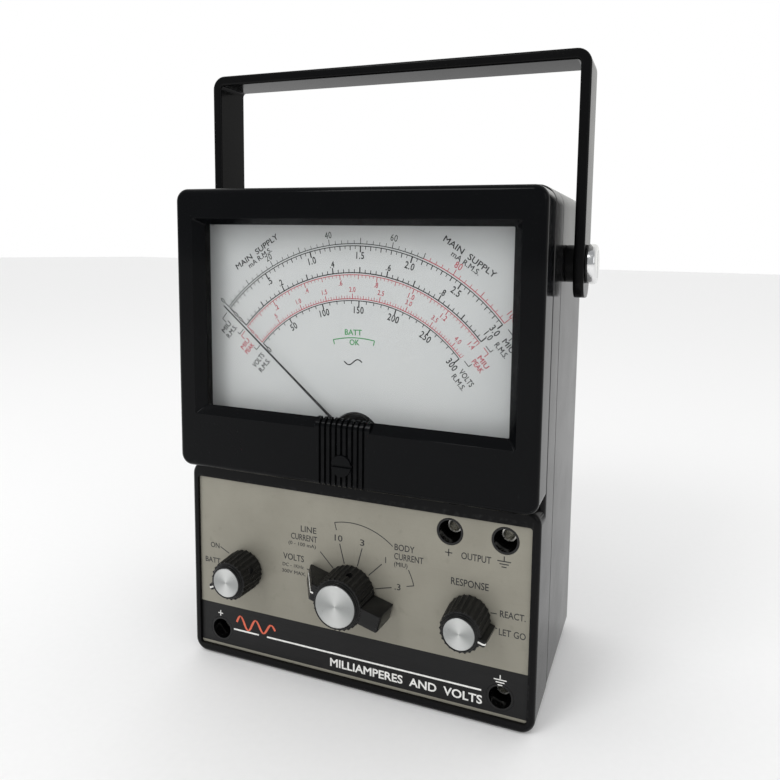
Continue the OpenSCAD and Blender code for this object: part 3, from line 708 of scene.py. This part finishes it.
class Print:  # gathers flat ink shapes of one colour in the plane at depth y
    def __init__(self, name, ink, y, slot, thick=0.03):
        self.name, self.ink, self.y, self.slot, self.thick = name, ink, y, slot, thick
        self.bm = bmesh.new()

    def shape(self, points):
        loft(self.bm, [[(x, y, z) for x, z in points] for y in (self.y, self.y - self.thick)])

    def line(self, a, b, width):
        a, b = Vector(a), Vector(b)
        side = (b - a).orthogonal().normalized() * width / 2
        self.shape([a + side, b + side, b - side, a - side])

    def arc(self, centre, r, width, start, end, step=2.0):
        count = max(2, round(abs(end - start) / step))
        for k in range(count):
            a, b = (math.radians(start + (end - start) * i / count) for i in (k, k + 1))
            ring = [(a, r + width / 2), (b, r + width / 2), (b, r - width / 2), (a, r - width / 2)]
            self.shape([(centre[0] + q * math.sin(t), centre[1] + q * math.cos(t)) for t, q in ring])

    def text(self, words, centre, height, width=None, turn=0.0, bold=0.0, squeeze=0.82, spacing=1.0):
        mesh = textMesh(words, bold, spacing)
        xs = [v.co.x for v in mesh.vertices]
        tall = height / capHeight
        wide = width / (max(xs) - min(xs)) if width else tall * squeeze
        midX, midY = (max(xs) + min(xs)) / 2, capHeight / 2
        c, s = math.cos(math.radians(turn)), math.sin(math.radians(turn))
        for v in mesh.vertices:
            u, w = (v.co.x - midX) * wide, (v.co.y - midY) * tall
            deep = self.y - (self.thick if v.co.z > 0 else 0.0)
            v.co = at(centre[0] + c * u + s * w, deep, centre[1] - s * u + c * w)
        self.bm.from_mesh(mesh)
        bpy.data.meshes.remove(mesh)

    def finish(self):
        obj = meshObject(self.name, self.bm)
        return place(obj, "case", inks[self.ink], self.slot)


def textMesh(words, bold=0.0, spacing=1.0):
    curve = bpy.data.curves.new("words", "FONT")
    curve.body, curve.extrude, curve.resolution_u = words, 0.01, 3
    curve.bevel_depth, curve.bevel_resolution = bold, 0
    curve.space_character = spacing
    holder = bpy.data.objects.new("words", curve)
    scene.collection.objects.link(holder)
    graph = bpy.context.evaluated_depsgraph_get()
    graph.update()
    mesh = bpy.data.meshes.new_from_object(holder.evaluated_get(graph))
    bpy.data.objects.remove(holder)
    bpy.data.curves.remove(curve)
    return mesh


sample = textMesh("H")
capHeight = max(v.co.y for v in sample.vertices)
bpy.data.meshes.remove(sample)


def makeDial():
    face = boxOf("dial_plate")[0].y - 0.01
    dial = {"centre": (-0.3, 90.35), "ends": (-49.4, 49.8), "bow": 1.15, "names": (0.0, 91.2), "lean": 50.0}
    cx, cz = dial["centre"]
    sheets = {ink: Print("dial_" + ink, ink, face, "dial") for ink in ("black", "grey", "red", "green")}
    # a scale's line radius, the side its ticks stand on, its full value and steps, its ticks, its numbers
    scales = [
        {"ink": "grey", "r": 69.2, "side": 1, "full": 100, "step": 2, "mid": 10, "long": 10,
         "ticks": (1.2, 2.0, 2.0), "widths": (0.2, 0.26, 0.26), "line": 0.3, "every": 20,
         "at": 72.7, "tall": 2.2, "bold": 0.006, "red": 70},
        {"ink": "black", "r": 68.45, "side": -1, "full": 60, "step": 1, "mid": 2, "long": 10,
         "ticks": (1.1, 1.5, 2.2), "widths": (0.22, 0.3, 0.45), "line": 0.3, "every": 10,
         "unit": 0.05, "at": 65.2, "tall": 2.3, "bold": 0.016},
        {"ink": "black", "r": 59.25, "side": 1, "full": 50, "step": 1, "mid": 5, "long": 5,
         "ticks": (1.2, 1.9, 2.0), "widths": (0.26, 0.4, 0.4), "line": 0.36, "every": 10,
         "unit": 0.02, "at": 62.5, "tall": 2.1, "bold": 0.016},
        {"ink": "red", "r": 58.55, "side": -1, "full": 70.7, "step": 1, "mid": 5, "long": 10,
         "ticks": (0.9, 1.5, 1.7), "widths": (0.16, 0.24, 0.28), "line": 0.26, "every": 10,
         "unit": 0.02, "at": 55.8, "tall": 1.75, "bold": 0.012},
        {"ink": "red", "r": 50.25, "side": 1, "full": 84.85, "step": 1, "mid": 2, "long": 10,
         "ticks": (0.9, 1.2, 1.8), "widths": (0.15, 0.18, 0.26), "line": 0.28, "every": 10,
         "unit": 0.05, "at": 53.45, "tall": 1.6, "bold": 0.012},
        {"ink": "black", "r": 49.6, "side": -1, "full": 300, "step": 10, "mid": 50, "long": 50,
         "ticks": (1.1, 2.0, 2.0), "widths": (0.26, 0.42, 0.42), "line": 0.3, "every": 50,
         "at": 46.4, "tall": 2.3, "bold": 0.014},
    ]

    def angleOf(share):
        start, end = dial["ends"]
        return start + (end - start) * share + dial["bow"] * math.sin(math.pi * share)

    def spot(r, a, shift=0.0, centre=dial["centre"]):  # shift is along the tangent
        t = math.radians(a)
        s, c = math.sin(t), math.cos(t)
        return Vector((centre[0] + r * s + shift * c, centre[1] + r * c - shift * s))

    def numberText(number, parts):
        if number == 0 or not parts:
            return "{:.0f}".format(number)
        words = "{:.1f}".format(number)
        return words[1:] if number < 0.95 else words

    for s in scales:
        ink, side, full = s["ink"], s["side"], s["full"]
        turnsRed = s.get("red", full + 1)
        split = angleOf(min(turnsRed / full, 1))
        sheets[ink].arc((cx, cz), s["r"], s["line"], angleOf(0), split)
        if turnsRed < full:
            sheets["red"].arc((cx, cz), s["r"], s["line"], split, angleOf(1))
        count = int(full / s["step"] + 0.001)
        for k in range(count + 1):
            value = k * s["step"]
            size = 2 if value % s["long"] == 0 else 1 if value % s["mid"] == 0 else 0
            reach = s["ticks"][size]
            if value in (0, full):
                reach, size = 2.2, 2
            a = angleOf(value / full)
            target = sheets["red" if value > turnsRed else ink]
            target.line(spot(s["r"], a), spot(s["r"] + side * reach, a), s["widths"][size])
        if full % s["step"]:
            sheets[ink].line(spot(s["r"], angleOf(1)), spot(s["r"] + side * 1.4, angleOf(1)), s["widths"][1])
        value = 0
        while value <= full:
            words = numberText(value * s.get("unit", 1), "unit" in s)
            target = sheets["red" if value > turnsRed else ink]
            a = angleOf(value / full)
            target.text(words, spot(s["at"], a), s["tall"], turn=a, bold=s["bold"], spacing=1.1, squeeze=0.8)
            value += s["every"]
    # names and brackets at both ends of each scale
    marks = [("black", 68.2, 66.1, 2.5, 5.5), ("black", 58.9, 60.1, 2.3, 4.8), ("red", 58.0, 56.3, 2.3, 4.8),
             ("black", 49.9, 51.3, 1.9, 4.2)]
    names = [("black", "MIU", 65.0, 6.8, 1.85, 4.9), ("black", "R.M.S.", 62.2, 6.5, 1.85, 5.6),
             ("red", "MIU", 54.9, 6.0, 1.7, 4.6), ("red", "PEAK", 52.5, 5.9, 1.7, 4.8),
             ("black", "VOLTS", 46.9, 6.7, 1.95, 6.4), ("black", "R.M.S.", 43.8, 6.3, 1.85, 6.0)]
    old = dial["names"]
    for sign in (-1, 1):
        ray = sign * dial["lean"]
        for ink, r, back, near, far in marks:
            sheets[ink].line(spot(r, ray, sign * near, old), spot(r, ray, sign * far, old), 0.26)
            sheets[ink].line(spot(r, ray, sign * far, old), spot(back, ray, sign * far, old), 0.26)
        for ink, words, r, shift, tall, wide in names:
            sheets[ink].text(words, spot(r, ray, sign * shift, old), tall, wide, turn=ray, bold=0.012)
        lean = sign * 34.0
        sheets["black"].text("MAIN  SUPPLY", spot(76.4, sign * 32, 0, old), 2.0, 21.2, turn=lean, bold=0.012)
        sheets["black"].text("mA R.M.S.", spot(73.9, sign * 32, 0, old), 1.8, 11.4, turn=lean, bold=0.008)
    check = sheets["green"]
    check.arc(old, 35.8, 0.34, -14.8, 11.2)
    for a in (-14.6, 11.0):
        check.line(spot(35.8, a, 0, old), spot(34.1, a, 0, old), 0.34)
    check.text("BATT", spot(37.7, -1.9, 0, old), 1.9, 6.6, turn=-1.0, bold=0.014)
    check.text("OK", spot(34.2, -1.3, 0, old), 1.9, 3.8, turn=-1.0, bold=0.014)
    waves = [(x * 0.2, 118.4 + 1.0 * math.sin(x * 0.2 * math.tau / 7)) for x in range(-18, 18)]
    for a, b in zip(waves, waves[1:]):  # the sign for alternating current
        sheets["black"].line((a[0] - 1.2, a[1]), (b[0] - 1.2, b[1]), 0.42)
    for sheet in sheets.values():
        sheet.finish()


makeDial()
print("dial printed")


def makePanelPrint():
    face = boxOf("panel_plate")[0].y - 0.01
    black = Print("panel_black", "black", face, "panel_metal")
    white = Print("panel_white", "white", face, "panel_metal")
    accent = Print("panel_orange", "orange", face, "panel_metal")
    words = [
        ("ON", -58.1, 43.6, 2.0, 4.0), ("BATT", -59.2, 37.5, 2.0, 6.8), ("VOLTS", -23.4, 44.9, 2.3, 8.7),
        ("DC - 1KHz", -23.6, 41.7, 1.25, 8.9), ("300V MAX.", -23.3, 39.2, 1.25, 10.0),
        ("LINE", -17.1, 56.4, 2.2, 6.4), ("CURRENT", -19.0, 53.1, 2.2, 10.8),
        ("(0 - 100 mA)", -19.8, 50.4, 1.25, 11.4), ("10", -4.9, 55.3, 2.2, 3.1), ("3", 4.4, 55.2, 2.2, 1.7),
        ("1", 13.5, 50.5, 2.2, None), (".3", 18.1, 41.6, 2.2, 2.2),
        ("BODY", 20.5, 55.9, 2.2, 7.4), ("CURRENT", 22.1, 52.6, 2.2, 10.8), ("(MIU)", 19.2, 49.8, 1.5, 5.0),
        ("OUTPUT", 46.1, 57.1, 2.3, 10.3), ("RESPONSE", 44.1, 47.7, 2.4, 13.1),
        ("REACT.", 59.0, 39.6, 2.2, 8.6), ("LET GO", 59.0, 33.3, 2.2, 9.0),
    ]
    for text, x, z, tall, wide in words:
        black.text(text, (x, z), tall, wide, bold=0.006)
    cx, cz = controlAxes["range"]

    def ray(r, a):
        return (cx + r * math.sin(math.radians(a)), cz + r * math.cos(math.radians(a)))

    for a, far in ((-45, 17.4), (-15, 17.2), (15, 17.0), (45, 17.0), (75, 16.4)):
        black.line(ray(9.9, a), ray(far, a), 0.32)
    black.line(ray(17.4, -75), ray(18.4, -75), 0.32)
    bracket = {"r": 25.0, "in": 22.2, "spans": ((-15, 40), (62, 75)), "ends": (-15, 75)}
    for start, end in bracket["spans"]:
        black.arc((cx, cz), bracket["r"], 0.3, start, end)
    for a in bracket["ends"]:
        black.line(ray(bracket["in"], a), ray(bracket["r"], a), 0.3)
    black.line((-55.6, 43.4), (-51.7, 41.4), 0.3)
    black.line((51.5, 39.2), (53.6, 39.3), 0.3)
    black.line((52.2, 34.5), (53.9, 34.2), 0.3)

    def plus(sheet, x, z, size, width):
        sheet.line((x - size, z), (x + size, z), width)
        sheet.line((x, z - size), (x, z + size), width)

    def earth(sheet, x, z, size, width):
        sheet.line((x, z), (x, z + 0.75 * size), width)
        for k in range(3):
            half, down = size * (1 - 0.32 * k), z - 0.42 * size * k
            sheet.line((x - half, down), (x + half, down), width)

    plus(black, 36.5, 57.3, 1.25, 0.34)
    earth(black, 55.6, 57.6, 2.3, 0.34)
    plus(white, -56.0, 16.6, 1.1, 0.36)
    earth(white, 55.4, 16.6, 2.2, 0.36)
    white.line((-50.0, 11.4), (-38.7, 11.4), 0.62)
    white.line((-35.1, 11.4), (49.0, 11.4), 0.62)
    white.text("MILLIAMPERES  AND  VOLTS", (20.6, 7.9), 2.9, 57.6, bold=0.022)
    swing = {"left": -48.6, "right": -31.5, "mid": 12.9, "high": 2.7, "turns": 2.5, "points": 90}
    wave = []
    for i in range(swing["points"] + 1):
        k = i / swing["points"]
        lift = math.sin(k * math.tau * swing["turns"]) * swing["high"] * (1 - 0.35 * k)
        wave.append((swing["left"] + (swing["right"] - swing["left"]) * k, swing["mid"] + 1.6 + lift))
    for i, (a, b) in enumerate(zip(wave, wave[1:])):
        accent.line(a, b, 0.5 + 0.35 * abs(math.cos((i / swing["points"]) * math.tau * swing["turns"])))
    for sheet in (black, white, accent):
        sheet.finish()


makePanelPrint()
print("panel printed")


def makeStage():
    floor = {"size": 6.0, "tone": (0.86, 0.86, 0.86)}
    bm = bmesh.new()
    bmesh.ops.create_grid(bm, x_segments=8, y_segments=8, size=floor["size"])
    obj = meshObject("floor", bm)
    made = Finish("floor_paper")
    grain = made.noise(400, 3)
    made.colour(made.mixColour(grain, floor["tone"], tuple(c * 1.04 for c in floor["tone"])))
    made.rough(made.between(grain, 0.7, 0.85))
    obj.data.materials.append(made.material)
    obj.location.z = -0.0002


def makeWorld():
    world = bpy.data.worlds.new("studio")
    scene.world = world
    world.use_nodes = True
    tree = world.node_tree
    tree.nodes.clear()
    new, link = tree.nodes.new, tree.links.new
    out, back, room = new("ShaderNodeOutputWorld"), new("ShaderNodeBackground"), new("ShaderNodeBackground")
    back.inputs["Color"].default_value = (1, 1, 1, 1)
    back.inputs["Strength"].default_value = 1.0
    coord, split, ramp = new("ShaderNodeTexCoord"), new("ShaderNodeSeparateXYZ"), new("ShaderNodeValToRGB")
    link(coord.outputs["Generated"], split.inputs[0])
    shift = new("ShaderNodeMath")
    shift.operation = "MULTIPLY_ADD"
    shift.inputs[1].default_value, shift.inputs[2].default_value = 0.5, 0.5
    link(split.outputs["Y"], shift.inputs[0])
    # reflections see a dim room in front of the meter and a bright one behind it
    ramp.color_ramp.elements[0].position, ramp.color_ramp.elements[0].color = 0.35, (0.40, 0.41, 0.42, 1)
    ramp.color_ramp.elements[1].position, ramp.color_ramp.elements[1].color = 0.80, (0.92, 0.92, 0.90, 1)
    link(shift.outputs[0], ramp.inputs[0])
    link(ramp.outputs[0], room.inputs["Color"])
    mix, path = new("ShaderNodeMixShader"), new("ShaderNodeLightPath")
    link(path.outputs["Is Glossy Ray"], mix.inputs[0])
    link(back.outputs[0], mix.inputs[1])
    link(room.outputs[0], mix.inputs[2])
    link(mix.outputs[0], out.inputs[0])


def softLight(name, place, target, power, size):
    light = bpy.data.lights.new(name, "AREA")
    light.energy, light.shape, light.size, light.size_y = power, "RECTANGLE", size[0], size[1]
    obj = bpy.data.objects.new(name, light)
    obj.location = place
    obj.rotation_euler = (Vector(target) - Vector(place)).to_track_quat("-Z", "Y").to_euler()
    scene.collection.objects.link(obj)


def makeCamera():
    view = {"place": (103.52, -191.93, 158.14), "turn": (0.0960904, 0.0359906, -0.3352588),
            "lens": 30.24, "shift": (-0.0730, -0.0956)}
    spin = Vector(view["turn"])
    rows = Matrix(((1, 0, 0), (0, 0, -1), (0, 1, 0))) @ Matrix.Rotation(spin.length, 3, spin.normalized())
    look = Matrix((rows[0], -rows[1], -rows[2])).transposed()
    lens = bpy.data.cameras.new("camera")
    lens.lens, lens.sensor_width = view["lens"], 36
    lens.shift_x, lens.shift_y = view["shift"]
    lens.clip_start, lens.clip_end = 0.01, 50
    obj = bpy.data.objects.new("camera", lens)
    obj.matrix_world = Matrix.Translation(at(*view["place"])) @ look.to_4x4()
    scene.collection.objects.link(obj)
    scene.camera = obj


makeStage()
makeWorld()
middle = (0, 0, 0.1)
softLight("key", (-0.35, -0.75, 0.85), middle, 3.0, (0.4, 0.4))
softLight("fill", (0.9, -0.5, 0.5), middle, 0.8, (0.5, 0.5))
makeCamera()
scene.view_settings.view_transform = "Standard"
print("stage set")
